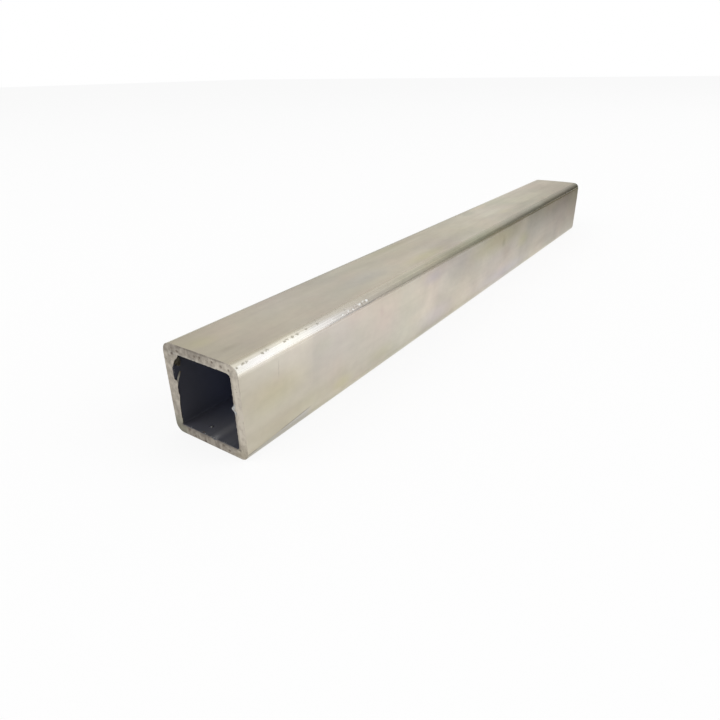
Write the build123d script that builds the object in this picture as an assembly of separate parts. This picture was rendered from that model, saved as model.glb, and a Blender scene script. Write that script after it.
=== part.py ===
from build123d import *
import os

# One straight length of square metal tube, also called box section.
# The tube runs along X and lies on one face. The origin is at the middle of the face it lies on:
# X is the length, Y the width, Z the height. Millimetres.

# Driving dimensions
SIDE = 30.0           # outside width and outside height
WALL = 3.0            # wall thickness
LENGTH = 300.0        # between the two sawn ends
OUTER_RADIUS = 3.2    # rounding of the four long outside edges, left by the forming rolls
INNER_RADIUS = 0.6    # the long inside corners are almost sharp
EDGE_BREAK = 0.15     # chamfer round the outside of each sawn end

# Worked out from them
BORE = SIDE - 2 * WALL
MID_HEIGHT = SIDE / 2


def rounded_bar(width, radius):
    """A solid square bar along X with rounded long edges, centred on the tube's long axis."""
    section_plane = Plane(origin=(-LENGTH / 2, 0, MID_HEIGHT), x_dir=(0, 1, 0), z_dir=(1, 0, 0))
    section = section_plane * RectangleRounded(width, width, radius)
    return extrude(section, LENGTH)


def sawn_end_rims(bar):
    """The outside edges of the two sawn ends."""
    ends = bar.faces().sort_by(Axis.X)
    return ends[0].outer_wire().edges() + ends[-1].outer_wire().edges()


def square_tube():
    """The outer bar, chamfered where the saw cut it, less the square bore that runs right through."""
    bar = rounded_bar(SIDE, OUTER_RADIUS)
    bar = chamfer(sawn_end_rims(bar), EDGE_BREAK)
    return bar - rounded_bar(BORE, INNER_RADIUS)


os.makedirs("parts", exist_ok=True)
export_step(square_tube(), "parts/square_tube.step")
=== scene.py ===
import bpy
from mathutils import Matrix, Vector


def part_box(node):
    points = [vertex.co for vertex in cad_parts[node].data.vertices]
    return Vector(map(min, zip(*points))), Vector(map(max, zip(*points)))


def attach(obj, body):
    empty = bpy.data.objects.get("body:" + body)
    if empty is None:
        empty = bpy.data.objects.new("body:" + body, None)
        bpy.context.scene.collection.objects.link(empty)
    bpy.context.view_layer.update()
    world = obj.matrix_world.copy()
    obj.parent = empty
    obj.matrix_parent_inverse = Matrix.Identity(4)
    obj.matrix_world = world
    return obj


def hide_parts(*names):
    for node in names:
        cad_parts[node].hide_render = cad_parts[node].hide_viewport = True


bl_info = {
    "name": "Square Metal Tube",
    "version": (1, 0, 0),
    "blender": (4, 5, 0),
    "location": "3D View > Sidebar > Square Tube",
    "description": "A sawn length of satin steel box section, with its burrs, bore scale and a studio",
    "category": "Add Mesh",
}

from functools import reduce
from math import cos, pi, radians, sin

import bpy
import numpy as np
from bpy.props import FloatProperty, FloatVectorProperty, IntProperty, PointerProperty
from mathutils import Matrix, Vector, noise

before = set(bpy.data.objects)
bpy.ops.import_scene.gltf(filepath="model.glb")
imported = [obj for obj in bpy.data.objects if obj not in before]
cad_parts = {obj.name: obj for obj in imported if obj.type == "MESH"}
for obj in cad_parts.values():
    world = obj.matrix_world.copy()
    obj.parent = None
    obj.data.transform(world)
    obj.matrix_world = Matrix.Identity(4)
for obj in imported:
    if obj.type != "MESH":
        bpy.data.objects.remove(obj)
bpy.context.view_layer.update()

MM = 0.001
NODE = "square_tube"
LOW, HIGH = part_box(NODE)
LENGTH = HIGH.x - LOW.x
SIDE = HIGH.z - LOW.z
NEAR_END = LOW.x


# ---------------------------------------------------------------- sizes and colours

def length(name, description, default):
    """A length setting, shown in the scene's units."""
    return FloatProperty(name=name, description=description, default=default, unit="LENGTH", precision=5)


def colour(name, description, default):
    """A linear RGB colour setting."""
    return FloatVectorProperty(name=name, description=description, default=default,
                               subtype="COLOR", size=3, min=0.0, max=1.0)


def whole(name, description, default, least=0):
    """A setting that counts something."""
    return IntProperty(name=name, description=description, default=default, min=least)


def brightness(name, description, default):
    """A lamp's brightness, where 1 shows a white surface as plain white."""
    return FloatProperty(name=name, description=description, default=default, min=0.0)


class TubeSizes(bpy.types.PropertyGroup):
    """Sizes of the rolled and sawn section."""

    side: length("Side", "Outside width and height of the section", SIDE)
    length: length("Length", "Distance between the two sawn ends", LENGTH)
    wall: length("Wall", "Wall thickness", 3.0 * MM)
    outside_radius: length("Outside Radius", "Rounding of the long outside edges", 2.9 * MM)
    inside_radius: length("Inside Radius", "Rounding of the long inside corners", 0.6 * MM)
    edge_break: length("Edge Break", "Rounding where a sawn face meets the outside", 0.06 * MM)
    set_back: length("Set Back", "How far the sawn face lies behind the crest of its burr", 0.12 * MM)
    ragged: length("Ragged Rim", "Reach of the fine tearing round the bore's rim", 0.13 * MM)
    waviness: length("Waviness", "Depth of the long waves that the rolls leave outside", 0.05 * MM)
    crown: length("Crown", "How far the rolled faces fall away towards the upper long edges", 0.14 * MM)
    bead_width: length("Bead Half Width", "Half width of the seam's bead along the bore floor", 1.7 * MM)
    bead_height: length("Bead Height", "Height of the seam's bead along the bore floor", 0.14 * MM)
    softening: whole("Edge Softening", "Passes that blend the upper edges' rounding into their faces", 40)
    around: whole("Points Around", "Points round the section", 600, 16)
    along: whole("Stations Along", "Stations along each skin", 36, 4)
    across: whole("Stations Across", "Stations across each sawn face", 40, 4)
    seed: whole("Seed", "Seed of everything random on the tube", 7)


class TubeColours(bpy.types.PropertyGroup):
    """Colours of the metal, its sawn faces and the scale in the bore."""

    satin: colour("Satin Steel", "Outside of the tube", (0.545, 0.505, 0.44))
    coolant: colour("Coolant", "Yellow tinge that coolant left near the cut", (0.545, 0.50, 0.395))
    film: colour("Film", "Pale dried edge of that coolant on the side", (0.60, 0.55, 0.465))
    sawn: colour("Sawn Steel", "Clean part of the sawn face", (0.575, 0.525, 0.445))
    # Besides soiled spots, this colour darkens the sawn face towards +Y, along its top and bottom and along
    # the bore's rim.
    dark_sawn: colour("Grimy Steel", "Soiled part of the sawn face", (0.215, 0.188, 0.16))
    stain: colour("Stain", "Brown specks in the sawn face", (0.12, 0.09, 0.07))
    swarf: colour("Swarf", "Freshly cut metal", (0.92, 0.92, 0.9))
    burr: colour("Burr", "Torn bright metal at the rim", (0.46, 0.465, 0.455))
    dull: colour("Dull Burr", "Torn metal that has been heated", (0.2, 0.19, 0.165))
    olive: colour("Burnt Burr", "Discoloured metal deep in the torn rim", (0.075, 0.066, 0.047))
    scale: colour("Bore Scale", "Dark scale inside", (0.078, 0.084, 0.116))
    # This grey is partly dirt and partly painted light: it lightens the bore floor near the ends.
    dust_and_light: colour("Bore Dust", "Grey film on the bore floor", (0.14, 0.14, 0.145))
    backdrop: colour("Backdrop", "Floor under the tube", (0.92, 0.92, 0.92))


class TubeStudio(bpy.types.PropertyGroup):
    """Lamp strengths, as the brightness that a surface facing them shows."""

    ambient: brightness("Ambient", "Even light from all round", 0.7)
    key: brightness("Key", "Brightness of the large softbox", 2.0)
    fill: brightness("Fill", "Brightness of the softbox before the sawn end", 1.2)
    glow: FloatProperty(name="Floor Glow", description="Share of the floor that shows as plain white",
                        default=0.85, min=0.0, max=1.0, subtype="FACTOR")


# ---------------------------------------------------------------- node wiring

class Wiring:
    """Adds and joins nodes in one shader or geometry tree."""

    def __init__(self, tree):
        self.tree = tree

    def node(self, kind, feeds=None, **settings):
        """A new node, with its settings and whatever is fed to its inputs."""
        node = self.tree.nodes.new(kind)
        for name, value in settings.items():
            setattr(node, name, value)
        for key, value in (feeds or {}).items():
            self.feed(node, key, value)
        return node

    def made(self, kind, feeds=None, **settings):
        """What a new node gives, from its first output."""
        return self.node(kind, feeds, **settings).outputs[0]

    def feed(self, node, key, value):
        """Wires a socket, or sets a plain value, on the input of that identifier or number."""
        found = [s for s in node.inputs if s.identifier == key]
        socket = found[0] if found else node.inputs[key]
        if isinstance(value, bpy.types.NodeSocket):
            self.tree.links.new(value, socket)
        else:
            socket.default_value = value

    def math(self, operation, *values):
        feeds = dict(enumerate(values))
        return self.made("ShaderNodeMath", feeds, operation=operation)

    def add(self, *values):
        return reduce(lambda a, b: self.math("ADD", a, b), values)

    def multiply(self, *values):
        return reduce(lambda a, b: self.math("MULTIPLY", a, b), values)

    def largest(self, *values):
        return reduce(lambda a, b: self.math("MAXIMUM", a, b), values)

    def smallest(self, *values):
        return reduce(lambda a, b: self.math("MINIMUM", a, b), values)

    def subtract(self, a, b):
        return self.math("SUBTRACT", a, b)

    def unsigned(self, value):
        return self.math("ABSOLUTE", value)

    def inverse(self, share):
        """What is left of 1."""
        return self.subtract(1.0, share)

    def vector(self, operation, *values):
        feeds = dict(enumerate(values))
        return self.made("ShaderNodeVectorMath", feeds, operation=operation)

    def scaled(self, vector, factor):
        feeds = {0: vector, "Scale": factor}
        return self.made("ShaderNodeVectorMath", feeds, operation="SCALE")

    def size_of(self, vector):
        return self.node("ShaderNodeVectorMath", {0: vector}, operation="LENGTH").outputs["Value"]

    def split(self, vector):
        return self.node("ShaderNodeSeparateXYZ", {0: vector}).outputs[:3]

    def millimetres(self, place):
        """A place as depth from the near end, y and z, in millimetres."""
        return self.split(self.scaled(self.vector("SUBTRACT", place, (NEAR_END, 0.0, 0.0)), 1 / MM))

    def join(self, x, y, z):
        return self.made("ShaderNodeCombineXYZ", {0: x, 1: y, 2: z})

    def remap(self, value, low, high, to_low=0.0, to_high=1.0, kind="LINEAR"):
        """value carried from one range to another, and held at the ends."""
        feeds = {"Value": value, "From Min": low, "From Max": high, "To Min": to_low, "To Max": to_high}
        return self.made("ShaderNodeMapRange", feeds, interpolation_type=kind)

    def ease(self, value, low, high, to_low=0.0, to_high=1.0):
        return self.remap(value, low, high, to_low, to_high, "SMOOTHSTEP")

    def between(self, a, b, factor):
        """The number that share of the way from a to b."""
        return self.add(a, self.multiply(self.subtract(b, a), factor))

    def hump(self, value, centre, half_width):
        """1 at the centre, easing to 0 at half_width on either side."""
        return self.ease(self.unsigned(self.subtract(value, centre)), half_width, 0.0)

    def noise(self, vector, scale, detail=2.0, roughness=0.5, distortion=0.0):
        """Noise with that many cells to the metre."""
        feeds = {"Vector": vector, "Scale": scale, "Detail": detail, "Roughness": roughness,
                 "Distortion": distortion}
        return self.made("ShaderNodeTexNoise", feeds)

    def grain(self, vector, scales, *detail):
        """Noise with its own number of cells to the metre along each axis."""
        return self.noise(self.vector("MULTIPLY", vector, scales), 1.0, *detail)

    def centred(self, value, spread):
        """Noise shifted to lie round nothing, and spread out."""
        return self.multiply(self.subtract(value, 0.5), spread)

    def cells(self, vector, scale):
        return self.made("ShaderNodeTexVoronoi", {"Vector": vector, "Scale": scale})

    def tint(self, a, b, factor):
        """Two colours mixed."""
        feeds = {"Factor_Float": factor, "A_Color": rgba(a), "B_Color": rgba(b)}
        return self.node("ShaderNodeMix", feeds, data_type="RGBA").outputs[2]

    def layered(self, base, *layers):
        """A colour with tones laid over it in turn, each by its mask and strength."""
        for tone, mask, strength in layers:
            base = self.tint(base, tone, self.multiply(mask, strength))
        return base


def rgba(value):
    """A colour setting with its alpha, or a socket as it is."""
    return value if isinstance(value, bpy.types.NodeSocket) else (*value, 1.0)


def dimmed(tone, *factors):
    """A colour with its channels multiplied, by one factor or by three."""
    factors = factors if len(factors) == 3 else factors * 3
    return tuple(c * f for c, f in zip(tone, factors))


# ---------------------------------------------------------------- pieces

def plain_object(name, mesh):
    """A new object at the origin that holds the mesh, shown in the scene."""
    piece = bpy.data.objects.new(name, mesh)
    bpy.context.scene.collection.objects.link(piece)
    return piece


def declare(piece, *replaced):
    """Joins a finished piece to the tube's body."""
    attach(piece, "root")
    if replaced:
        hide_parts(*replaced)


SOCKET_KINDS = {float: "Float", int: "Int", tuple: "Vector", bpy.types.Material: "Material"}


def geometry_tree(name, fill, values):
    """A Geometry Nodes tree with an input for each named value, which fill makes the geometry from."""
    tree = bpy.data.node_groups.new(name, "GeometryNodeTree")
    tree.interface.new_socket("Geometry", in_out="OUTPUT", socket_type="NodeSocketGeometry")
    for socket, value in values.items():
        kind = SOCKET_KINDS[type(value)]
        tree.interface.new_socket(socket, in_out="INPUT", socket_type=f"NodeSocket{kind}")
    wiring = Wiring(tree)
    inputs = {s.name: s for s in wiring.node("NodeGroupInput").outputs if s.name}
    wiring.node("NodeGroupOutput", {0: fill(wiring, inputs)})
    return tree


def grown(name, tree_name, fill, values):
    """The plain mesh that a tree makes from those values of its named inputs."""
    tree = geometry_tree(tree_name, fill, values)
    piece = plain_object(name, bpy.data.meshes.new(name))
    modifier = piece.modifiers.new(tree.name, "NODES")
    modifier.node_group = tree
    for item in tree.interface.items_tree:
        if item.in_out == "INPUT":
            modifier[item.identifier] = values[item.name]
    evaluated = piece.evaluated_get(bpy.context.evaluated_depsgraph_get())
    mesh = bpy.data.meshes.new_from_object(evaluated)
    if not mesh.polygons:
        raise RuntimeError(f"{name}: the tree made no faces")
    piece.modifiers.clear()
    piece.data = mesh
    mesh.name = name
    face_outwards(mesh)
    return piece


def points_of(mesh):
    """A mesh's vertices as an array of rows."""
    co = np.empty(len(mesh.vertices) * 3)
    mesh.vertices.foreach_get("co", co)
    return co.reshape(-1, 3)


def move_points(mesh, co):
    mesh.vertices.foreach_set("co", co.ravel())
    mesh.update()


# ---------------------------------------------------------------- the tube's wall

BEAD_OFF_CENTRE = -1.2 * MM
BEAD_WANDER = 0.7 * MM
FILLET_POINTS = 24
CREST_WIDTH = 0.45 * MM
LUMP_DEPTH = 0.14 * MM
PIT_DEPTH = 0.2 * MM
FACE_MARGIN = 0.3 * MM
RIM_REACH = 0.9 * MM
RIM_FULL = 0.1 * MM


def keep(w, geometry, name, value, kind="FLOAT"):
    """Stores a value on the points under that name."""
    feeds = {"Geometry": geometry, "Name": name, "Value": value}
    return w.made("GeometryNodeStoreNamedAttribute", feeds, data_type=kind, domain="POINT")


def recall(w, name, kind="FLOAT"):
    return w.made("GeometryNodeInputNamedAttribute", {"Name": name}, data_type=kind)


def section_rail(w, size, core_half):
    """The outside of the section as a closed curve. Each point keeps its place on the square that
    the corner arcs are centred on, and the direction in which the surface faces."""
    square = w.made("GeometryNodeCurvePrimitiveQuadrilateral", {0: size["Side"], 1: size["Side"]})
    feeds = {"Curve": square, "Count": FILLET_POINTS, "Radius": size["Outside Radius"]}
    rounded = w.made("GeometryNodeFilletCurve", feeds, mode="POLY")
    feeds = {"Curve": rounded, "Count": size["Points Around"]}
    rail = w.made("GeometryNodeResampleCurve", feeds, mode="COUNT")
    place = w.made("GeometryNodeInputPosition")
    limit = w.join(core_half, core_half, core_half)
    core = w.vector("MAXIMUM", w.vector("MINIMUM", place, limit), w.scaled(limit, -1.0))
    outward = w.vector("NORMALIZE", w.vector("SUBTRACT", place, core))
    feeds = {"Value": place, "Iterations": size["Edge Softening"]}
    blended = w.node("GeometryNodeBlurAttribute", feeds, data_type="FLOAT_VECTOR").outputs["Value"]
    rail = keep(w, rail, "core", core, "FLOAT_VECTOR")
    rail = keep(w, rail, "blend", w.vector("SUBTRACT", blended, place), "FLOAT_VECTOR")
    return keep(w, rail, "outward", outward, "FLOAT_VECTOR")


def wall_loop(w, along, across):
    """A closed curve that stands for the way round the wall: in along the outside, over the near
    sawn face, back along the bore and over the far sawn face."""
    total = w.multiply(w.add(along, across), 2.0)
    loop = w.made("GeometryNodeCurvePrimitiveCircle", {"Resolution": total})
    step = w.made("GeometryNodeInputIndex")
    near = w.add(along, across)
    back = w.add(near, along)
    run = w.subtract(w.remap(step, 0.0, along), w.remap(step, near, back))
    depth = w.subtract(w.remap(step, along, near), w.remap(step, back, total))
    loop = keep(w, loop, "run", run)
    return keep(w, loop, "depth", depth)


def crowded(w, share):
    """0 to 1 with the steps drawn together at both ends."""
    return w.multiply(w.inverse(w.math("COSINE", w.multiply(share, pi))), 0.5)


def edge_share(w, size, core_half):
    """0 over the middle of a face, easing to 1 half way round its long edge."""
    y, z, _ = w.split(recall(w, "core", "FLOAT_VECTOR"))
    lean_y, lean_z, _ = w.split(recall(w, "outward", "FLOAT_VECTOR"))
    on_flat = w.smallest(w.unsigned(y), w.unsigned(z))
    lean = w.smallest(w.unsigned(lean_y), w.unsigned(lean_z))
    travelled = w.add(on_flat, w.multiply(w.math("ARCSINE", lean), size["Outside Radius"]))
    farthest = w.add(core_half, w.multiply(size["Outside Radius"], pi / 4))
    return w.ease(travelled, w.multiply(farthest, 0.3), farthest)


def swept_wall(w, size):
    """The whole tube as one closed skin, swept round the section."""
    half = w.multiply(size["Side"], 0.5)
    core_half = w.subtract(half, size["Outside Radius"])
    bore_core = w.subtract(w.subtract(half, size["Wall"]), size["Inside Radius"])
    rail = section_rail(w, size, core_half)
    loop = wall_loop(w, size["Stations Along"], size["Stations Across"])
    skin = w.made("GeometryNodeCurveToMesh", {"Curve": rail, "Profile Curve": loop})

    depth = crowded(w, recall(w, "depth"))
    run = crowded(w, recall(w, "run"))
    run = w.between(run, crowded(w, run), 0.5)
    end = w.inverse(w.multiply(run, 2.0))
    outward = recall(w, "outward", "FLOAT_VECTOR")
    core = w.scaled(recall(w, "core", "FLOAT_VECTOR"),
                    w.between(1.0, w.math("DIVIDE", bore_core, core_half), depth))
    radius = w.between(size["Outside Radius"], size["Inside Radius"], depth)
    section = w.vector("ADD", core, w.scaled(outward, radius))
    _, height, _ = w.split(section)
    worked = w.multiply(w.inverse(depth), w.ease(height, w.multiply(half, -0.5), w.multiply(half, 0.5)))
    section = w.vector("ADD", section, w.scaled(recall(w, "blend", "FLOAT_VECTOR"), worked))
    across, height, _ = w.split(section)
    reach = w.multiply(size["Length"], 0.5)
    flat = w.join(w.multiply(end, reach), across, height)
    seeded = w.vector("ADD", flat, w.join(size["Seed"], 0.0, 0.0))

    x = w.multiply(end, w.subtract(reach, sawn_end(w, size, depth, seeded)))
    fall = w.multiply(edge_share(w, size, core_half), size["Crown"])
    inset = w.add(w.multiply(fall, worked), skin_relief(w, size, depth, x, reach, seeded))
    section = w.vector("SUBTRACT", section, w.scaled(outward, inset))
    across, height, _ = w.split(section)
    height = w.add(height, bead(w, size, across, height, depth, seeded))
    place = w.join(x, across, w.add(height, half))
    skin = w.made("GeometryNodeSetPosition", {"Geometry": skin, "Position": place})
    skin = w.made("GeometryNodeSetShadeSmooth", {"Geometry": skin, "Shade Smooth": True})
    skin = w.made("GeometryNodeRealizeInstances", {"Geometry": skin})
    return three_finishes(w, size, skin)


def sawn_end(w, size, depth, seeded):
    """How far a point of the sawn face, or of the skins that meet it, lies behind the tube's length."""
    from_outside = w.multiply(depth, size["Wall"])
    from_bore = w.multiply(w.inverse(depth), size["Wall"])
    left = w.inverse(w.remap(w.math("DIVIDE", from_outside, size["Edge Break"]), 0.0, 1.0))
    rounding = w.inverse(w.math("SQRT", w.inverse(w.multiply(left, left))))
    lip = w.multiply(w.ease(from_bore, CREST_WIDTH, 0.0),
                     w.ease(w.noise(seeded, 900.0, 3.0), 0.35, 0.65, 0.25, 1.0))
    on_face = w.multiply(w.ease(from_outside, 0.0, FACE_MARGIN), w.ease(from_bore, 0.0, FACE_MARGIN))
    lumps = w.multiply(w.subtract(w.noise(seeded, 600.0, 3.0), 0.4), LUMP_DEPTH)
    pit = w.multiply(w.ease(w.cells(seeded, 620.0), 0.26, 0.08),
                     w.ease(w.noise(seeded, 260.0), 0.5, 0.56), PIT_DEPTH)
    worn = w.multiply(on_face, w.add(lumps, pit))
    level = w.multiply(size["Set Back"], w.inverse(lip))
    return w.add(level, w.multiply(rounding, size["Edge Break"]), worn)


def skin_relief(w, size, depth, x, reach, seeded):
    """How far a point is pushed in across the wall: long waves outside, tearing at the bore's rim."""
    waves = w.multiply(w.grain(seeded, (14.0, 60.0, 60.0), 1.0), size["Waviness"], w.inverse(depth))
    to_end = w.subtract(reach, w.unsigned(x))
    at_rim = w.multiply(w.ease(depth, 0.8, 1.0), w.ease(to_end, RIM_REACH, RIM_FULL))
    torn = w.subtract(w.noise(seeded, 800.0, 4.0, 0.65), 0.42)
    return w.add(waves, w.multiply(torn, at_rim, size["Ragged Rim"], 3.0))


def bead(w, size, across, height, depth, seeded):
    """The low bead that the weld left along the bore floor."""
    wander = w.grain(seeded, (90.0, 0.0, 0.0))
    centre = w.add(w.centred(wander, BEAD_WANDER), BEAD_OFF_CENTRE)
    shape = w.hump(across, centre, size["Bead Half Width"])
    ripple = w.grain(seeded, (420.0, 0.0, 0.0), 3.0)
    on_floor = w.multiply(w.ease(depth, 0.8, 1.0), w.math("LESS_THAN", height, 0.0))
    return w.multiply(shape, w.remap(ripple, 0.2, 0.8, 0.7, 1.0), on_floor, size["Bead Height"])


def three_finishes(w, size, skin):
    """The satin outside, the sawn ends and the scaled bore, told apart by where they lie in the wall."""
    depth = recall(w, "depth")
    inside = w.math("GREATER_THAN", depth, 0.9999)
    outside = w.math("LESS_THAN", depth, 0.0001)
    skin = w.made("GeometryNodeSetMaterial", {"Geometry": skin, "Material": size["Sawn"]})
    feeds = {"Geometry": skin, "Selection": outside, "Material": size["Outside"]}
    skin = w.made("GeometryNodeSetMaterial", feeds)
    feeds = {"Geometry": skin, "Selection": inside, "Material": size["Bore"]}
    return w.made("GeometryNodeSetMaterial", feeds)


# What the saw broke on the near end, as centre, reach and push, each as depth into the tube, y and z in
# millimetres: a dip at the weld, small chips that grime has filled, and the outside edge and bore corners.
WELD_DIP = (((0.0, -1.5, 3.1), (1.3, 1.35, 1.7), (0.25, 0.0, -0.8)),)
FILLED_CHIPS = tuple(
    ((0.0, y, z), (0.8, wide, tall), (push, 0.0, 0.0))
    for y, z, wide, tall, push in (
        (1.7, 28.3, 0.7, 0.5, 0.3), (-0.5, 28.5, 0.6, 0.55, 0.3), (-5.3, 28.5, 0.55, 0.5, 0.28),
        (-8.6, 28.1, 0.65, 0.65, 0.28), (-11.5, 27.8, 0.5, 0.6, 0.25), (11.0, 26.9, 0.7, 0.6, 0.2),
        (8.7, 28.0, 0.8, 0.55, 0.2), (9.2, 2.0, 0.7, 0.6, 0.28), (6.8, 0.6, 0.7, 0.5, 0.2),
        (2.5, 0.5, 0.7, 0.5, 0.2), (-5.1, 1.9, 0.65, 0.6, 0.28), (-7.4, 1.0, 0.7, 0.6, 0.25)))
BROKEN_EDGES = (
    ((0.0, -14.9, 22.2), (0.8, 0.5, 0.4), (0.15, 0.15, 0.0)),
    ((0.0, -11.9, 26.9), (2.0, 1.2, 1.2), (0.0, 0.24, -0.24)),
    ((0.0, -11.9, 3.1), (2.0, 1.1, 1.1), (0.0, 0.2, 0.2)),
)


def near_end_point(place):
    """A point given as depth into the tube, y and z in millimetres, in the shared frame."""
    depth, y, z = place
    return np.array((NEAR_END + depth * MM, y * MM, z * MM))


def chip(mesh, chips):
    """Presses small chips into a mesh."""
    co = points_of(mesh)
    moved = np.zeros_like(co)
    for centre, reach, push in chips:
        away = (co - near_end_point(centre)) / (np.array(reach) * MM)
        share = np.clip(1.0 - (away ** 2).sum(axis=1), 0.0, 1.0) ** 1.5
        moved += share[:, None] * np.array(push) * MM
    move_points(mesh, co + moved)


# ---------------------------------------------------------------- torn burrs

# Edges as depth into the tube, y, z in millimetres: where a sheet leaves the wall, and where it ends.
# Then its thickness, bow, seed and finish.
TORN_SHEETS = {
    "torn_lip": (
        ((0.45, 12.4, 18.4), (0.45, 12.4, 14.0), (0.45, 12.4, 9.0), (0.45, 12.4, 2.7)),
        ((0.14, 10.9, 18.1), (0.14, 10.6, 17.2), (0.15, 11.2, 15.8), (0.14, 11.1, 14.2), (0.14, 10.85, 13.2),
         (0.14, 11.25, 11.7), (0.14, 11.5, 10.2), (0.14, 11.65, 7.5), (0.14, 11.8, 5.9), (0.14, 11.6, 5.0),
         (0.14, 11.7, 3.1)),
        0.3, -0.03, 11, "sawn"),
    "corner_burr": (
        ((0.45, 8.3, 27.4), (0.45, 10.4, 27.4), (0.45, 12.0, 27.4), (0.45, 12.4, 27.0), (0.45, 12.4, 25.2),
         (0.45, 12.4, 22.2)),
        ((0.14, 8.6, 26.85), (0.14, 9.05, 26.1), (0.15, 9.6, 25.5), (0.15, 10.35, 24.85), (0.14, 10.9, 24.1),
         (0.14, 11.25, 23.2), (0.16, 11.75, 22.3)),
        0.3, -0.03, 12, "sawn"),
    "folded_flake": (
        ((0.5, 9.7, 26.0), (0.5, 10.6, 25.2), (0.5, 11.6, 24.2), (0.5, 12.3, 22.6)),
        ((0.9, 9.3, 24.9), (1.2, 9.4, 24.1), (1.3, 9.9, 23.3), (1.5, 10.0, 22.7), (1.4, 10.9, 22.3),
         (1.2, 11.5, 22.6), (0.9, 12.2, 22.0)),
        0.2, 0.25, 13, "burnt"),
    "hanging_strip": (
        ((0.3, 11.8, 17.0), (0.35, 11.2, 18.2), (0.5, 10.85, 19.2), (0.7, 10.5, 20.2), (0.9, 9.9, 21.3)),
        ((0.25, 10.9, 16.8), (0.3, 10.5, 18.0), (0.45, 10.2, 19.0), (0.7, 9.85, 20.0), (0.95, 9.5, 21.2)),
        0.16, -0.1, 14, "burnt"),
    "rim_tongue": (
        ((0.45, -12.4, 18.0), (0.45, -12.4, 16.3), (0.45, -12.4, 14.6)),
        ((0.14, -11.95, 17.8), (0.14, -10.75, 16.1), (0.16, -11.5, 15.7), (0.14, -12.0, 14.7)),
        0.24, -0.04, 15, "torn"),
}
SHEET_ROWS = 9
SHEET_COLUMNS = 56
SHEET_RAGGED = 0.1 * MM
SHEET_GRAIN = 2600.0
SHEET_FRONT = 0.03 * MM
SHEET_TAPER = 0.6
ROOT_CURL = 6


def even_points(line, count):
    """A polyline's points, spread evenly along it."""
    line = np.array([near_end_point(p) for p in line])
    steps = np.linalg.norm(np.diff(line, axis=0), axis=1)
    travelled = np.concatenate(([0.0], np.cumsum(steps)))
    wanted = np.linspace(0.0, travelled[-1], count)
    return np.stack([np.interp(wanted, travelled, line[:, k]) for k in range(3)], axis=1)


def torn_sheet(name, rim, free, thickness, bow, seed, material):
    """A closed torn sheet between the edge that is on the wall and its free edge."""
    first = even_points(rim, SHEET_COLUMNS)
    last = even_points(free, SHEET_COLUMNS)
    share = np.linspace(0.0, 1.0, SHEET_ROWS)[:, None, None]
    middle = first * (1 - share) + last * share
    risen = 1 - (1 - share) ** ROOT_CURL
    middle[:, :, 0:1] = first[:, 0:1] * (1 - risen) + last[:, 0:1] * risen
    middle[:, :, 0:1] += 4.0 * share * (1 - share) * bow * MM
    noise.seed_set(seed)
    for i in range(SHEET_ROWS):
        for j in range(SHEET_COLUMNS):
            p = Vector(middle[i, j]) * SHEET_GRAIN
            middle[i, j] += np.array(noise.noise_vector(p)) * SHEET_RAGGED * share[i, 0, 0]
    down = np.gradient(middle, axis=0)
    along = np.gradient(middle, axis=1)
    facing = np.cross(down, along)
    facing /= np.linalg.norm(facing, axis=2, keepdims=True)
    half = facing * thickness * MM / 2 * (1.0 - SHEET_TAPER * share)
    rows = np.concatenate((middle + half, (middle - half)[::-1]))
    rows[:, :, 0] = np.maximum(rows[:, :, 0], NEAR_END + SHEET_FRONT)
    return ring_mesh(name, rows, material)


def ring_mesh(name, rows, material):
    """A closed mesh whose rows run round in a ring, with both ends capped."""
    count, width = rows.shape[:2]
    faces = []
    for i in range(count):
        for j in range(width - 1):
            a = i * width + j
            b = (i + 1) % count * width + j
            faces.append((a, a + 1, b + 1, b))
    half = count // 2
    for j in (0, width - 1):
        for i in range(half - 1):
            a, b = i * width + j, (i + 1) * width + j
            c, d = (count - 2 - i) * width + j, (count - 1 - i) * width + j
            faces.append((a, b, c, d) if j == 0 else (d, c, b, a))
    mesh = bpy.data.meshes.new(name)
    mesh.from_pydata(rows.reshape(-1, 3).tolist(), [], faces)
    face_outwards(mesh)
    mesh.shade_smooth()
    mesh.materials.append(material)
    return mesh


def face_outwards(mesh):
    """Turns a closed mesh right side out."""
    if enclosed_volume(mesh) < 0:
        mesh.flip_normals()


def enclosed_volume(mesh):
    mesh.calc_loop_triangles()
    co = points_of(mesh)
    tris = np.array([t.vertices[:] for t in mesh.loop_triangles])
    a, b, c = co[tris[:, 0]], co[tris[:, 1]], co[tris[:, 2]]
    return float((a * np.cross(b, c)).sum() / 6.0)


# ---------------------------------------------------------------- fine burrs and swarf

CRUMBS_PER_RIM = 110
CRUMB_DEPTH = 0.5 * MM
CRUMB_SCATTER = 0.14 * MM
SMALLEST_CRUMB = 0.05 * MM
LARGEST_CRUMB = 0.16 * MM
CRUMB_DENTS = 1.4
RIM_CORNER_POINTS = 4
SWARF = {
    "Turns": 0.8,
    "Start Radius": 0.36 * MM,
    "End Radius": 0.24 * MM,
    "Width": 0.34 * MM,
    "Thickness": 0.07 * MM,
    "Place": tuple(near_end_point((3.8, 3.6, 3.16))),
    "Turn": (0.15, 0.1, 0.6),
    "Points": 32,
}


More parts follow.
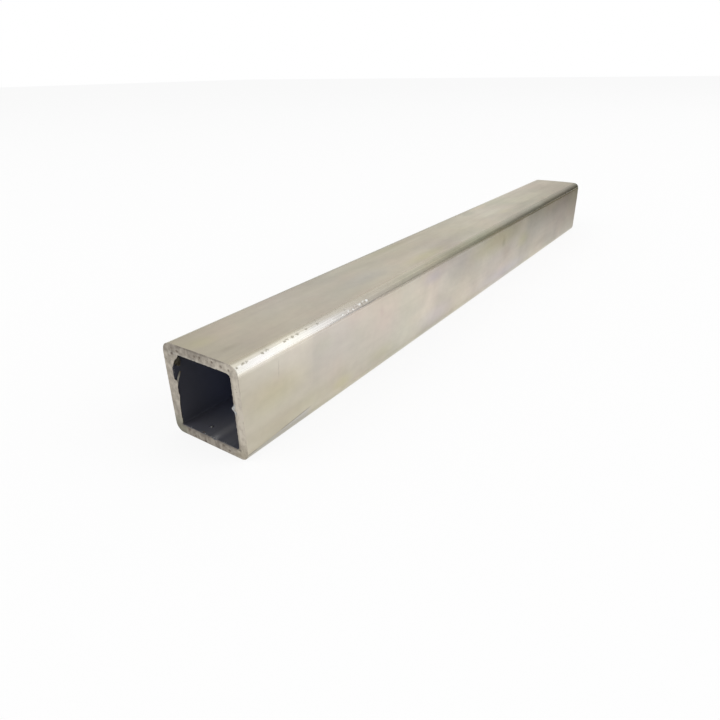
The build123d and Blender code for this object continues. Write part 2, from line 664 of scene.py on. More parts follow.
def scattered_crumbs(w, size):
    """Crumbs of metal scattered round the bore's rim at both ends."""
    feeds = {0: size["Bore Side"], 1: size["Bore Side"]}
    square = w.made("GeometryNodeCurvePrimitiveQuadrilateral", feeds)
    feeds = {"Curve": square, "Count": RIM_CORNER_POINTS, "Radius": size["Corner Radius"]}
    rounded = w.made("GeometryNodeFilletCurve", feeds, mode="POLY")
    rims = w.node("GeometryNodeJoinGeometry")
    for end in (-1.0, 1.0):
        place = w.join(w.multiply(size["Half Length"], end), 0.0, size["Middle Height"])
        feeds = {"Geometry": rounded, "Translation": place, "Rotation": (pi / 2, 0.0, pi / 2)}
        w.feed(rims, 0, w.made("GeometryNodeTransform", feeds))
    feeds = {"Curve": rims.outputs[0], "Count": size["Count"]}
    points = w.made("GeometryNodeCurveToPoints", feeds, mode="COUNT")
    spread = w.scaled((1.0, 1.0, 1.0), size["Scatter"])
    feeds = {"Geometry": points, "Offset": random_vector(w, w.scaled(spread, -1.0), spread, size["Seed"])}
    points = w.made("GeometryNodeSetPosition", feeds)
    ball = w.made("GeometryNodeMeshIcoSphere", {"Radius": 1.0, "Subdivisions": 2})
    dented = w.node("ShaderNodeTexNoise", {"Scale": CRUMB_DENTS, "Detail": 2.0}).outputs["Color"]
    feeds = {"Geometry": ball, "Offset": w.vector("SUBTRACT", dented, (0.5, 0.5, 0.5))}
    crumb = w.made("GeometryNodeSetPosition", feeds)
    low = w.scaled((1.0, 1.0, 1.0), size["Smallest"])
    high = w.scaled((1.0, 1.0, 1.0), size["Largest"])
    feeds = {"Points": points, "Instance": crumb,
             "Rotation": random_vector(w, (0.0, 0.0, 0.0), (pi, pi, pi), w.add(size["Seed"], 1.0)),
             "Scale": random_vector(w, low, high, w.add(size["Seed"], 2.0))}
    crumbs = w.made("GeometryNodeInstanceOnPoints", feeds)
    return realized(w, crumbs, size["Metal"])


def random_vector(w, low, high, seed):
    feeds = {"Min": low, "Max": high, "Seed": seed}
    return w.made("FunctionNodeRandomValue", feeds, data_type="FLOAT_VECTOR")


def realized(w, geometry, metal):
    plain = w.made("GeometryNodeRealizeInstances", {"Geometry": geometry})
    return w.made("GeometryNodeSetMaterial", {"Geometry": plain, "Material": metal})


def curled_ribbon(w, size):
    """A curled ribbon of swarf."""
    feeds = {"Resolution": size["Points"], "Rotations": size["Turns"], "Start Radius": size["Start Radius"],
             "End Radius": size["End Radius"], "Height": 0.0}
    path = w.made("GeometryNodeCurveSpiral", feeds)
    feeds = {0: size["Width"], 1: size["Thickness"]}
    ribbon = w.made("GeometryNodeCurvePrimitiveQuadrilateral", feeds)
    feeds = {"Curve": path, "Profile Curve": ribbon, "Fill Caps": True}
    curl = w.made("GeometryNodeCurveToMesh", feeds)
    feeds = {"Geometry": curl, "Translation": size["Place"], "Rotation": size["Turn"]}
    curl = w.made("GeometryNodeTransform", feeds)
    return realized(w, curl, size["Metal"])


# ---------------------------------------------------------------- materials
# Places and widths are in millimetres here, and scales are cells to the metre.

def emptied(owner):
    """The wiring of a material's or a world's own tree, with nothing in it yet."""
    owner.use_nodes = True
    owner.node_tree.nodes.clear()
    return Wiring(owner.node_tree)


def new_finish(name, metallic=1.0):
    """A material of the tube, its wiring, its shader and the place on the tube."""
    material = bpy.data.materials.new(name)
    w = emptied(material)
    shader = w.node("ShaderNodeBsdfPrincipled", {"Metallic": metallic})
    w.node("ShaderNodeOutputMaterial", {"Surface": shader.outputs[0]})
    return material, w, shader, w.node("ShaderNodeTexCoord").outputs["Object"]


def dress(w, shader, base, roughness, height, depth):
    """Wires a shader's colour and roughness, and a bump of that depth in metres."""
    feeds = {"Height": height, "Distance": depth, "Strength": 1.0}
    w.feed(shader, "Base Color", base)
    w.feed(shader, "Roughness", roughness)
    w.feed(shader, "Normal", w.made("ShaderNodeBump", feeds))


def from_axes(w, y, z):
    """How far a point is from the section's upright and level middle planes."""
    return w.unsigned(y), w.unsigned(w.subtract(z, SIDE / 2 / MM))


def spots(w, place, marks, ragged=0.0, solid=0.35):
    """1 inside any of the marks, each a centre and a reach as depth into the tube, y, z in millimetres."""
    found = 0.0
    for centre, reach in marks:
        away = w.vector("SUBTRACT", place, tuple(near_end_point(centre)))
        away = w.vector("DIVIDE", away, tuple(r * MM for r in reach))
        found = w.largest(found, w.ease(w.add(w.size_of(away), ragged), 1.0, solid))
    return found


# Soft marks of oil and handling, and painted reflections that lighten or darken the metal where it mirrors
# its surroundings, in millimetres, each with what it does to the three channels.
# On the top: depth, y, reach along and reach across.
TOP_MARKS_AND_PAINTED_REFLECTIONS = (
    (5, 4, 7, 5, (0, 0.01, -0.08)),
    (7, -5, 6, 1.8, (-0.09, -0.1, -0.11)),
    (42, -3, 9, 7, (-0.05, -0.02, -0.03)),
    (55, 5, 12, 6, (0.03, 0.03, 0.02)),
    (66, -5, 34, 8, (-0.04, 0, 0.02)),
    (74, -3.5, 17, 7, (-0.06, -0.06, 0)),
    (112, -8.5, 26, 5, (-0.05, -0.03, -0.19)),
    (112, 9.5, 30, 3, (-0.06, -0.07, -0.15)),
    (118, 3.5, 22, 6, (0.06, 0.06, 0.04)),
    (134, -6.5, 34, 6, (-0.08, -0.09, -0.07)),
    (185, 8.5, 10, 4, (-0.15, -0.12, -0.13)),
    (189, -0.5, 15, 5.5, (0.07, 0.1, 0.1)),
    (200, 2, 26, 12, (0.05, 0.06, 0.07)),
    (202, -5, 10, 4, (0.04, 0.03, -0.04)),
    (203, 10, 14, 3.5, (0.12, 0.08, 0.06)),
)
# On the front side: depth, z, reach along and reach upwards.
SIDE_MARKS_AND_PAINTED_REFLECTIONS = (
    (13, 7, 16, 5, (0.02, -0.01, 0.03)),
    (14, 17, 19, 8, (-0.03, -0.03, -0.14)),
    (20, 6.5, 36, 5, (-0.1, -0.1, -0.16)),
    (36, 22, 8, 5, (-0.03, 0, -0.04)),
    (43.5, 9, 5, 4, (-0.05, -0.05, -0.07)),
    (44, 5, 8, 3.5, (0, 0, -0.13)),
    (68, 6, 12, 4, (-0.03, -0.03, -0.1)),
    (68, 21.6, 2, 2.5, (-0.05, -0.09, -0.06)),
    (70, 16, 18, 15, (0.02, -0.03, 0.02)),
    (94, 11, 15, 4, (0.06, 0.03, 0.02)),
    (105, 23.5, 11, 4, (-0.07, -0.06, 0.05)),
    (110, 7, 20, 6, (0.01, -0.01, 0.08)),
    (150, 21.5, 18, 5, (-0.03, -0.04, -0.07)),
    (174, 23, 46, 9, (-0.02, -0.04, -0.22)),
    (178, 20.4, 3.2, 3.6, (-0.18, -0.18, -0.22)),
    (182, 15, 8, 4.5, (-0.05, -0.09, -0.12)),
    (184, 4, 44, 6.5, (0, 0.03, 0.17)),
    (205, 16, 13, 6, (-0.04, -0.03, -0.22)),
)
# On the front edge: depth, y and z, and the reach along each.
EDGE_MARKS_AND_PAINTED_REFLECTIONS = (
    ((21, -13, 29.5), (9, 2.2, 2.2), (0.14, 0.14, 0.14)),
    ((130, -13.6, 28.6), (62, 3.4, 3.4), (-0.03, 0, -0.15)),
    ((8, -14.4, 28.2), (17, 2.2, 2.4), (0, 0, 0.07)),
)
TOP_Z = 30
FRONT_Y = -15
MARK_THICKNESS = 2
MARKS_AND_PAINTED_REFLECTIONS = (
    *(((depth, y, TOP_Z), (along, across, MARK_THICKNESS), change)
      for depth, y, along, across, change in TOP_MARKS_AND_PAINTED_REFLECTIONS),
    *(((depth, FRONT_Y, z), (along, MARK_THICKNESS, up), change)
      for depth, z, along, up, change in SIDE_MARKS_AND_PAINTED_REFLECTIONS),
    *EDGE_MARKS_AND_PAINTED_REFLECTIONS,
)
# How far the mottle, the drawn and smeared shading and the finest grit reach, as shares of the colour.
MOTTLE = (0.11, 0.12, 0.22)
SHADING_NEAR = 0.32
SHADING_FAR = 0.6
GRIT = 0.12


def clouded(w, base, place):
    """A metal's colour with the soft marks and painted reflections on it, and a faint mottle of its own."""
    vector = w.vector("MULTIPLY", place, (18.0, 38.0, 38.0))
    mottle = w.node("ShaderNodeTexNoise", {"Vector": vector, "Scale": 1.0, "Detail": 2.0}).outputs["Color"]
    mottle = w.vector("SUBTRACT", mottle, (0.5, 0.5, 0.5))
    drawn = w.grain(place, (27.0, 95.0, 95.0), 4.0, 0.55)
    smeared = w.grain(place, (34.0, 58.0, 58.0), 3.0, 0.5, 0.6)
    grit = w.grain(place, (330.0, 480.0, 480.0))
    depth, y, _ = w.millimetres(place)
    shade = w.between(drawn, smeared, w.ease(w.unsigned(y), 14.2, 14.9))
    shade = w.centred(shade, w.ease(depth, 50, 120, SHADING_NEAR, SHADING_FAR))
    shade = w.add(shade, w.centred(grit, GRIT))
    tone = w.vector("ADD", w.vector("MULTIPLY", mottle, MOTTLE), (1.0, 1.0, 1.0))
    tone = w.vector("ADD", tone, w.scaled((1.0, 1.0, 1.0), shade))
    for centre, reach, change in MARKS_AND_PAINTED_REFLECTIONS:
        share = spots(w, place, ((centre, reach),), 0.0, 0.0)
        tone = w.vector("ADD", tone, w.scaled(change, share))
    return w.vector("MULTIPLY", base, tone)


# Where the front edge's rounding has its centre, as y and z, and its radius.
EDGE_CENTRE = (-11.8, 26.8)
EDGE_RADIUS = 3.2


def on_edge(rows, across, up):
    """Marks on the front edge, from rows of depth, turn round the edge in degrees, and reach along it."""
    y, z = EDGE_CENTRE
    marks = []
    for depth, turn, reach in rows:
        out = EDGE_RADIUS * cos(radians(turn))
        rise = EDGE_RADIUS * sin(radians(turn))
        marks.append(((depth, y - out, z + rise), (reach, across, up)))
    return tuple(marks)


DENTS = on_edge((
    (1.0, 45, 0.5), (3.3, 50, 0.8), (4.7, 51, 0.6), (10.8, 52, 0.7), (12.6, 55, 0.9), (19.5, 50, 0.6),
    (20.9, 54, 0.8), (23.0, 52, 0.8), (25.4, 55, 0.8), (29.3, 55, 0.7), (34.4, 50, 0.6),
    (48.0, 47, 0.5), (52.4, 42, 0.6), (54.0, 38, 0.5), (57.0, 24, 0.7), (59.0, 30, 0.6)), 0.5, 0.45)
FLECKS = on_edge((
    (40.6, 28, 0.5), (46.2, 24, 0.6), (49.5, 28, 0.9), (51.8, 22, 0.6), (55.2, 31, 1.0), (57.8, 38, 0.8),
    (59.6, 34, 0.7)), 0.45, 0.35)
FLECK_TONE = (0.84, 0.84, 0.81)
# The dried edge of the coolant leans away from the near end as it climbs the front side.
FILM_END = 28.15
FILM_LEAN = 0.085
FILM_WOBBLE = 1.2
# A dark line, painted reflection of dark surroundings in the lower rounding, rises along the foot of the
# front side, and a scratch stands upright near the end.
PAINTED_LINE_START = 2.3
PAINTED_LINE_LEAN = 0.073
PAINTED_LINE_WIDTH = 0.24
SCRATCH_FOOT = 20.7
SCRATCH_DEPTH = 14.8
SCRATCH_LEAN = 0.13
SCORE_HEIGHT = 27.35
SCORE_WIDTH = 0.32
# How much brighter the metal is in each channel where the long edges are rubbed.
BURNISHED = (1.1, 1.14, 1.17)
SATIN_RELIEF = 0.014 * MM


def rolled_tone(w, colours, place, streak, cloud, to_edge):
    """The satin's colour before the marks laid on it: coolant near the cut, streaks, clouds, soft marks that
    are partly painted reflection, rubbed edges.
    """
    depth, y, z = w.millimetres(place)
    satin = colours.satin
    cool = w.noise(w.vector("ADD", place, (3.0, 1.0, 2.0)), 55.0)
    wobble = w.centred(w.noise(place, 400.0, 3.0), FILM_WOBBLE)
    edge_of_film = w.add(w.multiply(z, FILM_LEAN), FILM_END, wobble)
    filmed = w.multiply(w.ease(w.subtract(depth, edge_of_film), 0.9, -0.9, 0.0, 0.6),
                        w.ease(y, -11, -14), w.ease(depth, 13, 27),
                        w.ease(z, 6, 20, 0.4, 1.0))
    base = w.layered(
        satin,
        (colours.coolant, w.ease(depth, 45, 5), 0.4),
        (colours.film, filmed, 1.0),
        (dimmed(satin, 1.03, 0.985, 0.985), w.ease(cool, 0.42, 0.66), 0.7),
        (dimmed(satin, 0.84), w.ease(cloud, 0.46, 0.72), 0.5),
        (dimmed(satin, 0.86), w.multiply(w.ease(streak, 0.5, 0.72), flat_share(w, y)), 0.4))
    rubbed = w.ease(to_edge, 11.9, 13)
    return w.vector("MULTIPLY", clouded(w, base, place), w.tint((1.0, 1.0, 1.0), BURNISHED, rubbed))


def flat_share(w, y):
    """How strongly the drawn streaks show: fully on the top, and less on the two sides."""
    return w.ease(w.unsigned(y), 14.2, 14.9, 1.0, 0.4)


def painted_lines_and_scratches(w, place):
    """Masks of the dark line that is painted reflection, of the painted shade below it, and of the scratch
    and the score.
    """
    depth, y, z = w.millimetres(place)
    on_front = w.ease(y, -12.6, -13.2)
    painted_line_height = w.add(w.multiply(depth, PAINTED_LINE_LEAN), PAINTED_LINE_START)
    near_painted_line = w.multiply(w.ease(depth, 29, 24), on_front)
    cut = w.largest(w.ease(depth, 4.2, 3), w.ease(depth, 12, 16), 0.3)
    line = w.multiply(w.hump(z, painted_line_height, PAINTED_LINE_WIDTH), near_painted_line, cut)
    below = w.multiply(w.ease(w.subtract(painted_line_height, z), 0.0, 0.2), near_painted_line)
    scratch_depth = w.add(w.multiply(w.subtract(z, SCRATCH_FOOT), SCRATCH_LEAN), SCRATCH_DEPTH)
    scratch = w.multiply(w.hump(depth, scratch_depth, 0.14), w.ease(z, 20.2, 21),
                         w.ease(z, 25.8, 24.6), w.ease(y, -14.5, -14.8))
    score = w.multiply(w.hump(z, SCORE_HEIGHT, SCORE_WIDTH), on_front,
                       w.ease(depth, 34, 42), w.ease(depth, 68, 60))
    return line, below, scratch, score


def satin_steel(colours):
    """Rolled steel, drawn lengthwise, with rubbed long edges."""
    material, w, shader, place = new_finish("satin_steel")
    _, y, z = w.millimetres(place)
    streak = w.grain(place, (9.0, 420.0, 420.0), 4.0, 0.6)
    fine = w.grain(place, (60.0, 5200.0, 5200.0), 3.0, 0.55)
    cloud = w.grain(place, (26.0, 60.0, 60.0), 3.0, 0.55)
    to_edge = w.smallest(*from_axes(w, y, z))
    edge = w.multiply(w.ease(to_edge, 11, 12.4), w.ease(z, 3, 9, 0.25, 1.0))
    line, below, scratch, score = painted_lines_and_scratches(w, place)
    dents = spots(w, place, DENTS, w.centred(w.noise(place, 1500.0, 4.0, 0.65), 2.4))
    flecks = spots(w, place, FLECKS, w.centred(w.noise(place, 800.0), 2.6))
    satin = colours.satin
    base = w.layered(
        rolled_tone(w, colours, place, streak, cloud, to_edge),
        # Painted shade: the bluish strip below the painted dark line on the lower rounding.
        (dimmed(satin, 0.95, 1.0, 1.1), below, 0.8),
        # The dark line is painted reflection; the scratch is a real mark.
        (dimmed(satin, 0.55), w.largest(w.multiply(line, 0.9), w.multiply(scratch, 0.45)), 1.0),
        (dimmed(satin, 0.42, 0.41, 0.33), dents, 0.38),
        (FLECK_TONE, flecks, 0.9),
        (dimmed(satin, 0.5, 0.52, 0.56), score, 0.75))
    rough = w.add(w.remap(streak, 0.3, 0.7, 0.31, 0.37), w.remap(cloud, 0.3, 0.7, -0.03, 0.03))
    rough = w.between(rough, 0.18, edge)
    rough = w.between(rough, 0.5, w.largest(dents, line, flecks))
    height = w.multiply(streak, w.between(0.5, 0.04, edge), flat_share(w, y))
    height = w.add(height, w.multiply(fine, w.between(0.3, 0.018, edge)), flecks)
    height = w.subtract(height, w.multiply(w.largest(dents, line, scratch), 2.5))
    dress(w, shader, base, rough, height, SATIN_RELIEF)
    return material


SAWN_RELIEF = 0.05 * MM
BORE_HALF = 12
RIM_TONE = (0.52, 0.51, 0.47)
# A soiled patch low on the sawn face.
LOW_SOIL = (((0.1, 13.2, 8.2), (0.6, 2.2, 2.6)),)
# The grime in the filled chips, kept to the sawn face itself.
GRIME = tuple(((0.1, y, z), (0.6, wide, tall)) for (_, y, z), (_, wide, tall), _ in FILLED_CHIPS)


def sawn_steel(colours):
    """The face that the saw left: mottled, darker towards +Y, along its top and bottom and along the bore's
    rim low down and on the -Y side, and specked brown.
    """
    material, w, shader, place = new_finish("sawn_steel")
    _, y, z = w.millimetres(place)
    upright = w.grain(place, (900.0, 1100.0, 170.0), 3.0, 0.55)
    mottle = w.noise(place, 520.0, 4.0, 0.55)
    blotch = w.noise(w.vector("ADD", place, (0.3, 0.7, 0.1)), 240.0)
    speck = w.multiply(w.ease(w.cells(place, 900.0), 0.2, 0.08), w.ease(blotch, 0.46, 0.54))
    low = w.multiply(w.ease(z, 6, 2.4), w.ease(y, -12.5, -7, 0.4, 0.84))
    high = w.multiply(w.ease(z, 25.2, 27.2), w.ease(y, -12.5, 3, 0.25, 0.7))
    darkening = w.largest(w.ease(y, -14, 12, 0.0, 0.45), low, high)
    darkening = w.add(darkening, w.remap(mottle, 0.35, 0.65, -0.24, 0.24), w.remap(upright, 0.35, 0.65, -0.08, 0.08))
    green = w.multiply(w.ease(y, 9, 11.5), w.ease(z, 7, 4))
    from_bore = w.subtract(w.largest(*from_axes(w, y, z)), BORE_HALF)
    pale = w.multiply(w.ease(from_bore, 0.6, 0.25), w.ease(z, 26.6, 27))
    inner = w.multiply(w.ease(from_bore, 0.75, 0.2),
                       w.largest(w.ease(z, 3.6, 3.2), w.ease(y, -11.6, -12, 0.0, 0.5)))
    top_line = w.multiply(w.hump(z, 29.65, 0.4), w.ease(y, -11.5, -9),
                          w.ease(y, 12, 4))
    side_line = w.multiply(w.hump(y, -14.75, 0.3), w.ease(z, 20, 22.5))
    dark_sawn = colours.dark_sawn
    base = w.layered(
        w.tint(colours.sawn, dark_sawn, darkening),
        (dimmed(dark_sawn, 0.9, 1.05, 0.9), green, 0.55),
        (RIM_TONE, pale, 0.25),
        (dimmed(dark_sawn, 0.7), inner, 0.7),
        (dark_sawn, spots(w, place, LOW_SOIL, 0.0, 0.0), 0.6),
        (dimmed(dark_sawn, 0.8), top_line, 0.6),
        (dark_sawn, side_line, 0.4),
        (colours.stain, w.largest(spots(w, place, GRIME), speck), 0.75))
    rough = w.remap(mottle, 0.3, 0.7, 0.42, 0.55)
    dress(w, shader, base, rough, w.add(mottle, w.multiply(upright, 0.5)), SAWN_RELIEF)
    return material


# A brown speck on the bore floor, just behind the rim.
RUST_SPECK = (((0.7, 3.3, 3.0), (0.4, 0.45, 0.5)),)
RUST_TONE = (0.12, 0.07, 0.04)
SCALE_RELIEF = 0.03 * MM
BURR_RELIEF = 0.03 * MM


def bore_scale(colours):
    """Dark scale, made lighter deeper in the bore as painted light, with a patchy grey film on the floor
    that is partly dirt and partly a painted pool of light near the ends.
    """
    material, w, shader, place = new_finish("bore_scale", metallic=0.0)
    depth, y, z = w.millimetres(place)
    cloud = w.grain(place, (60.0, 260.0, 260.0), 4.0, 0.6)
    inwards = w.smallest(depth, w.subtract(LENGTH / MM, depth))
    # Partly dirt and partly a painted pool of light: lighter on the floor near the ends and towards -Y,
    # where light comes in.
    film = w.multiply(w.ease(z, 3.8, 3), w.ease(cloud, 0.3, 0.7, 0.25, 1.0),
                      w.ease(y, 10, 2, 0.25, 1.0), w.ease(inwards, 26, 5, 0.15, 1.0))
    on_bead = w.multiply(w.hump(y, BEAD_OFF_CENTRE / MM - 0.5, 2.4), w.ease(z, 3.8, 3.4))
    # Painted light: the scale is made lighter deeper in the bore, where little light reaches.
    painted_light_deep = w.multiply(w.ease(inwards, 6, 42), w.ease(z, 3, 4, 0.6, 1.0))
    base = w.layered(
        colours.scale,
        (dimmed(colours.scale, 0.8, 0.76, 0.7), w.ease(inwards, 14, 3), 1.0),
        (dimmed(colours.scale, 2.1, 2.2, 2.9), painted_light_deep, 1.0),
        (colours.dust_and_light, film, 0.45),
        (dimmed(colours.dust_and_light, 1.3), on_bead, 0.6),
        (RUST_TONE, spots(w, place, RUST_SPECK), 1.0))
    dress(w, shader, base, w.remap(cloud, 0.3, 0.7, 0.5, 0.62), cloud, SCALE_RELIEF)
    return material


def burr_steel(name, colours, tone, heat=1.0):
    """Metal torn and rolled over by the saw, and burnt where it hangs deeper in the bore."""
    material, w, shader, place = new_finish(name)
    depth, _, _ = w.millimetres(place)
    mottle = w.noise(place, 1500.0, 3.0, 0.6)
    burnt = w.ease(depth, 0.3, 0.85)
    base = w.layered(tone, (dimmed(tone, 0.6), w.ease(mottle, 0.4, 0.7), 1.0), (colours.olive, burnt, heat))
    dress(w, shader, base, w.remap(mottle, 0.3, 0.7, 0.38, 0.5), mottle, BURR_RELIEF)
    return material


# ---------------------------------------------------------------- operators

def shown_settings(group):
    """A group's settings under the labels that they are shown with."""
    return {group.bl_rna.properties[key].name: getattr(group, key) for key in group.__annotations__}


class SQUARETUBE_OT_wall(bpy.types.Operator):
    """Sweep the wall of the tube, with its sawn ends and bore"""

    bl_idname = "square_tube.wall"
    bl_label = "Tube Wall"

    def execute(self, context):
        colours = context.scene.tube_colours
        piece = grown("tube_wall", "Sawn Square Tube", swept_wall, {
            **shown_settings(context.scene.tube_sizes),
            "Outside": satin_steel(colours),
            "Sawn": sawn_steel(colours),
            "Bore": bore_scale(colours),
        })
        chip(piece.data, WELD_DIP + FILLED_CHIPS + BROKEN_EDGES)
        declare(piece, NODE)
        return {"FINISHED"}


class SQUARETUBE_OT_torn_burrs(bpy.types.Operator):
    """Tear the larger burrs out of the near end's rim"""

    bl_idname = "square_tube.torn_burrs"
    bl_label = "Torn Burrs"

    def execute(self, context):
        colours = context.scene.tube_colours
        finishes = {
            "sawn": sawn_steel(colours),
            "torn": burr_steel("torn_steel", colours, colours.burr),
            "burnt": burr_steel("burnt_steel", colours, colours.dull),
        }
        for name, (rim, free, thickness, bow, seed, finish) in TORN_SHEETS.items():
            declare(plain_object(name, torn_sheet(name, rim, free, thickness, bow, seed, finishes[finish])))
        return {"FINISHED"}


class SQUARETUBE_OT_rim_burrs(bpy.types.Operator):
    """Scatter the finest burrs round the bore's rims"""

    bl_idname = "square_tube.rim_burrs"
    bl_label = "Rim Burrs"

    def execute(self, context):
        s = context.scene.tube_sizes
        colours = context.scene.tube_colours
        piece = grown("rim_burrs", "Rim Burrs", scattered_crumbs, {
            "Bore Side": s.side - 2 * s.wall,
            "Corner Radius": s.inside_radius,
            "Half Length": s.length / 2 - CRUMB_DEPTH,
            "Middle Height": s.side / 2,
            "Scatter": CRUMB_SCATTER,
            "Smallest": SMALLEST_CRUMB,
            "Largest": LARGEST_CRUMB,
            "Count": CRUMBS_PER_RIM,
            "Seed": s.seed,
            "Metal": burr_steel("fine_burrs", colours, colours.burr),
        })
        declare(piece)
        return {"FINISHED"}


class SQUARETUBE_OT_swarf(bpy.types.Operator):
    """Lay a curl of swarf on the bore floor"""

    bl_idname = "square_tube.swarf"
    bl_label = "Swarf"

    def execute(self, context):
        colours = context.scene.tube_colours
        metal = burr_steel("swarf_steel", colours, colours.swarf, heat=0.0)
        declare(grown("swarf_curl", "Swarf Curl", curled_ribbon, {**SWARF, "Metal": metal}))
        return {"FINISHED"}


# ---------------------------------------------------------------- studio

CAMERA_PLACE = Vector((-236.5, -114.1, 96.5)) * MM
CAMERA_AZIMUTH = radians(35.15)
CAMERA_DOWN = radians(27.0)
CAMERA_ROLL = radians(1.0)
SENSOR = 36.0
LENS = 28.5
CLIP_START = 5.0 * MM
FLOOR_HALF = 6.0
FLOOR_CARD_STEP = 0.1 * MM
MIDDLE = Vector((0.0, 0.0, SIDE / 2))

# Tints of the cards, to be multiplied by a card's level.
COOL = (0.97, 1.0, 1.06)
WHITE = (1.01, 1.0, 0.97)
GREY = (1.02, 1.0, 0.92)
BROWN = (1.08, 1.0, 0.62)
# Cards that stand round the tube: azimuth, elevation, distance, lean, width, height, tint, level and the
# share of the card that is solid. Angles are in degrees. A nearer card covers the ones behind it.
CARDS = {
    "bright_card": (-41, 26.5, 2.4, -26, 1.05, 3.8, COOL, 1.85, 0.8),
    "top_card": (0, 62, 2.45, 0, 2.3, 2.0, WHITE, 1.32, 0.35),
    "soft_card": (-6, 14, 2.2, 0, 2.8, 3.2, GREY, 0.86, 0.95),
    "shoulder_card": (1, 21, 2.15, 0, 1.8, 2.3, GREY, 0.57, 0.0),
    "mid_card": (-16, 9, 2.1, 0, 2.5, 2.2, GREY, 0.6, 0.8),
    "flap_card": (-25, 31, 2.2, 0, 1.1, 1.1, GREY, 0.75, 0.3),
    "dark_card": (-8, 4, 2.0, 0, 2.6, 1.7, BROWN, 0.07, 0.15),
    "horizon_card": (42, 5, 2.5, 0, 2.8, 0.8, GREY, 0.5, 0.3),
    "grey_card": (25, 20, 2.7, 0, 7.6, 3.6, GREY, 0.83, 0.75),
    "shade_card": (78, 24, 2.4, 0, 2.8, 2.8, GREY, 0.6, 0.4),
}
# These sheets show only in the metal and paint the floor it mirrors: contact, near_contact and edge_shade
# are painted shadow, the others painted shade and light.
# Cards on the floor: middle in metres, turn in degrees, layer, width, height, tint, level, solid share.
FLOOR_CARDS = {
    "dark_floor": ((0.84, -0.5), -28, 1, 2.0, 0.84, BROWN, 0.16, 0.45),
    "dark_runner": ((0.41, -0.08), 0, 2, 0.9, 0.245, BROWN, 0.16, 0.1),
    "bright_floor": ((0.11, -0.32), -52, 3, 0.73, 0.18, COOL, 2.07, 0.7),
    "bright_pool": ((-0.025, -0.095), 0, 4, 0.16, 0.25, WHITE, 1.2, 0.2),
    "pale_streak": ((0.305, -0.215), -32, 8, 0.8, 0.065, GREY, 0.67, 0.3),
    "edge_shade": ((0.01, -0.095), 0, 5, 0.13, 0.045, GREY, 0.46, 0.3),
    "contact": ((0.0, -0.0135), 0, 6, 0.36, 0.011, GREY, 0.84, 0.7),
    "near_contact": ((-0.14, -0.0135), 0, 7, 0.09, 0.011, GREY, 0.76, 0.6),
}


def towards(azimuth, elevation):
    """The direction at that azimuth, measured from +X towards +Y, and elevation, in degrees."""
    a, e = radians(azimuth), radians(elevation)
    return Vector((cos(e) * cos(a), cos(e) * sin(a), sin(e)))


def camera_turn(azimuth, down, roll):
    """Rotation of a camera that looks along azimuth, measured from +X towards +Y, and down."""
    forward = Vector((cos(down) * cos(azimuth), cos(down) * sin(azimuth), -sin(down)))
    right = forward.cross(Vector((0, 0, 1))).normalized()
    below = forward.cross(right)
    right = right * cos(roll) + below * sin(roll)
    below = forward.cross(right)
    return Matrix((right, -below, -forward)).transposed()


def set_camera(scene):
    data = bpy.data.cameras.new("camera")
    data.sensor_width = SENSOR
    data.lens = LENS
    data.clip_start = CLIP_START
    camera = bpy.data.objects.new("camera", data)
    turn = camera_turn(CAMERA_AZIMUTH, CAMERA_DOWN, CAMERA_ROLL)
    camera.matrix_world = Matrix.Translation(CAMERA_PLACE) @ turn.to_4x4()
    scene.collection.objects.link(camera)
    scene.camera = camera


def sees_backdrop(w):
    """1 for rays from the camera, off gloss or through glass."""
    path = w.node("ShaderNodeLightPath").outputs
    return w.largest(path["Is Camera Ray"], path["Is Glossy Ray"], path["Is Transmission Ray"])


def set_world(scene, ambient):
    """White where it is seen or mirrored, and an even light on everything else."""
    world = bpy.data.worlds.new("studio")
    w = emptied(world)
    strength = w.between(ambient, 1.0, sees_backdrop(w))
    background = w.node("ShaderNodeBackground", {"Color": (1, 1, 1, 1), "Strength": strength})
    w.node("ShaderNodeOutputWorld", {"Surface": background.outputs[0]})
    scene.world = world


def floor_finish(colours, glow):
    """Pale floor that shows mostly as plain white and still takes a soft shadow."""
    material = bpy.data.materials.new("backdrop")
    w = emptied(material)
    paint = w.made("ShaderNodeBsdfDiffuse", {"Color": rgba(colours.backdrop)})
    white = w.made("ShaderNodeEmission", {"Color": (1, 1, 1, 1), "Strength": 1.0})
    share = w.multiply(sees_backdrop(w), glow)
    mixed = w.made("ShaderNodeMixShader", {0: share, 1: paint, 2: white})
    w.node("ShaderNodeOutputMaterial", {"Surface": mixed})
    return material


def flat_panel(name, width, height, material):
    """A stage panel in its own XY plane."""
    x, y = width / 2, height / 2
    mesh = bpy.data.meshes.new(name)
    mesh.from_pydata([(-x, -y, 0), (x, -y, 0), (x, y, 0), (-x, y, 0)], [], [(0, 1, 2, 3)])
    mesh.materials.append(material)
    panel = plain_object(name, mesh)
    return panel


def card_finish(name, tone, solid, width, height):
    """A card of one tone that thins out from that share of its size to nothing at its rim."""
    material = bpy.data.materials.new(name)
    w = emptied(material)
    place = w.node("ShaderNodeTexCoord").outputs["Object"]
    away = w.size_of(w.vector("DIVIDE", place, (width / 2, height / 2, 1.0)))
    glow = w.made("ShaderNodeEmission", {"Color": rgba(tone), "Strength": 1.0})
    clear = w.made("ShaderNodeBsdfTransparent")
    mixed = w.made("ShaderNodeMixShader", {0: w.ease(away, solid, 1.0), 1: glow, 2: clear})
    w.node("ShaderNodeOutputMaterial", {"Surface": mixed})
    return material


def facing_tube(azimuth, elevation, distance, lean=0.0):
    """The transform that sets a panel up in that direction, facing the tube, and leans it over."""
    away = towards(azimuth, elevation)
    turn = away.to_track_quat("Z", "Y").to_matrix().to_4x4()
    return Matrix.Translation(MIDDLE + away * distance) @ turn @ Matrix.Rotation(radians(lean), 4, "Z")


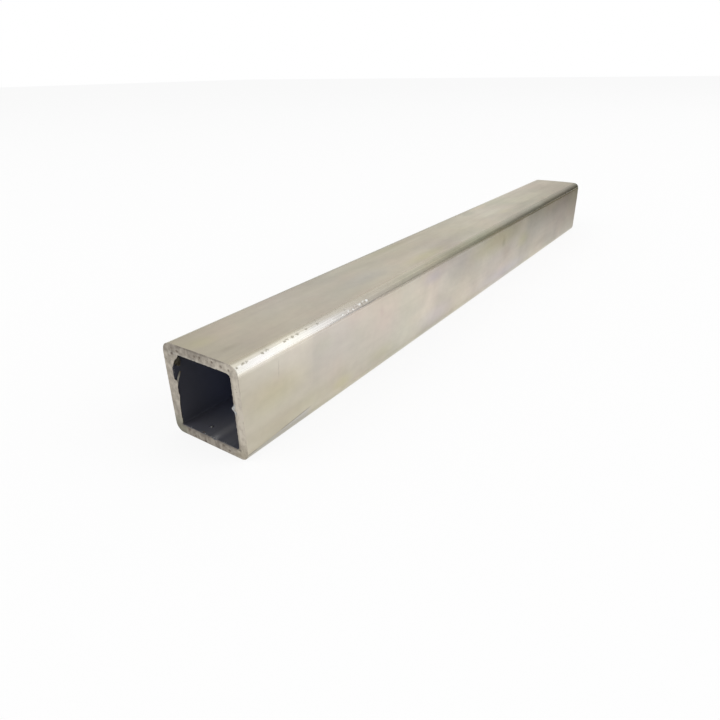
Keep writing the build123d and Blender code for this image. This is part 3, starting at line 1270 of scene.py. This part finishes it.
def card(name, transform, width, height, tone, solid):
    """A soft oval card that only shows in the metal."""
    panel = flat_panel(name, width, height, card_finish(name, tone, solid, width, height))
    panel.matrix_world = transform
    for kind in ("camera", "diffuse", "shadow", "transmission", "volume_scatter"):
        setattr(panel, f"visible_{kind}", False)


def on_floor(middle, turn, layer):
    """The transform that lays a card on the floor, above the cards in lower layers."""
    place = Matrix.Translation((*middle, layer * FLOOR_CARD_STEP))
    return place @ Matrix.Rotation(radians(turn), 4, "Z")


def softbox(name, azimuth, elevation, distance, width, height, level):
    """A rectangular lamp of that brightness. The metal mirrors the cards in its place."""
    data = bpy.data.lights.new(name, "AREA")
    data.shape = "RECTANGLE"
    data.size = width
    data.size_y = height
    data.energy = level * pi * width * height
    lamp = bpy.data.objects.new(name, data)
    lamp.matrix_world = facing_tube(azimuth, elevation, distance)
    lamp.visible_camera = False
    lamp.visible_glossy = False
    bpy.context.scene.collection.objects.link(lamp)


class SQUARETUBE_OT_studio(bpy.types.Operator):
    """Set the pale floor, the lamps and cards, and the camera"""

    bl_idname = "square_tube.studio"
    bl_label = "Studio"

    def execute(self, context):
        scene = context.scene
        studio = scene.tube_studio
        floor = floor_finish(scene.tube_colours, studio.glow)
        flat_panel("floor", 2 * FLOOR_HALF, 2 * FLOOR_HALF, floor)
        softbox("key", -66, 32, 2.2, 1.6, 2.0, studio.key)
        softbox("fill", 152, 42, 1.6, 1.2, 1.2, studio.fill)
        for name, (*facing, width, height, tint, level, solid) in CARDS.items():
            card(name, facing_tube(*facing), width, height, dimmed(tint, level), solid)
        for name, (middle, turn, layer, width, height, tint, level, solid) in FLOOR_CARDS.items():
            card(name, on_floor(middle, turn, layer), width, height, dimmed(tint, level), solid)
        set_world(scene, studio.ambient)
        set_camera(scene)
        scene.view_settings.view_transform = "Standard"
        return {"FINISHED"}


class SQUARETUBE_PT_panel(bpy.types.Panel):
    """Lists the tube's sizes, colours and steps"""

    bl_label = "Square Tube"
    bl_space_type = "VIEW_3D"
    bl_region_type = "UI"
    bl_category = "Square Tube"

    def draw(self, context):
        for group in (context.scene.tube_sizes, context.scene.tube_colours, context.scene.tube_studio):
            box = self.layout.box()
            for name in group.__annotations__:
                box.prop(group, name)
        for operator in OPERATORS:
            self.layout.operator(operator.bl_idname)


OPERATORS = (SQUARETUBE_OT_wall, SQUARETUBE_OT_torn_burrs, SQUARETUBE_OT_rim_burrs, SQUARETUBE_OT_swarf,
             SQUARETUBE_OT_studio)
GROUPS = {"tube_sizes": TubeSizes, "tube_colours": TubeColours, "tube_studio": TubeStudio}


def register():
    for group in GROUPS.values():
        bpy.utils.register_class(group)
    for name, group in GROUPS.items():
        setattr(bpy.types.Scene, name, PointerProperty(type=group))
    for operator in OPERATORS:
        bpy.utils.register_class(operator)
    bpy.utils.register_class(SQUARETUBE_PT_panel)


def unregister():
    bpy.utils.unregister_class(SQUARETUBE_PT_panel)
    for operator in reversed(OPERATORS):
        bpy.utils.unregister_class(operator)
    for name in GROUPS:
        delattr(bpy.types.Scene, name)
    for group in reversed(list(GROUPS.values())):
        bpy.utils.unregister_class(group)


def main():
    register()
    bpy.ops.square_tube.wall()
    bpy.ops.square_tube.torn_burrs()
    bpy.ops.square_tube.rim_burrs()
    bpy.ops.square_tube.swarf()
    bpy.ops.square_tube.studio()


if __name__ == "__main__":
    main()
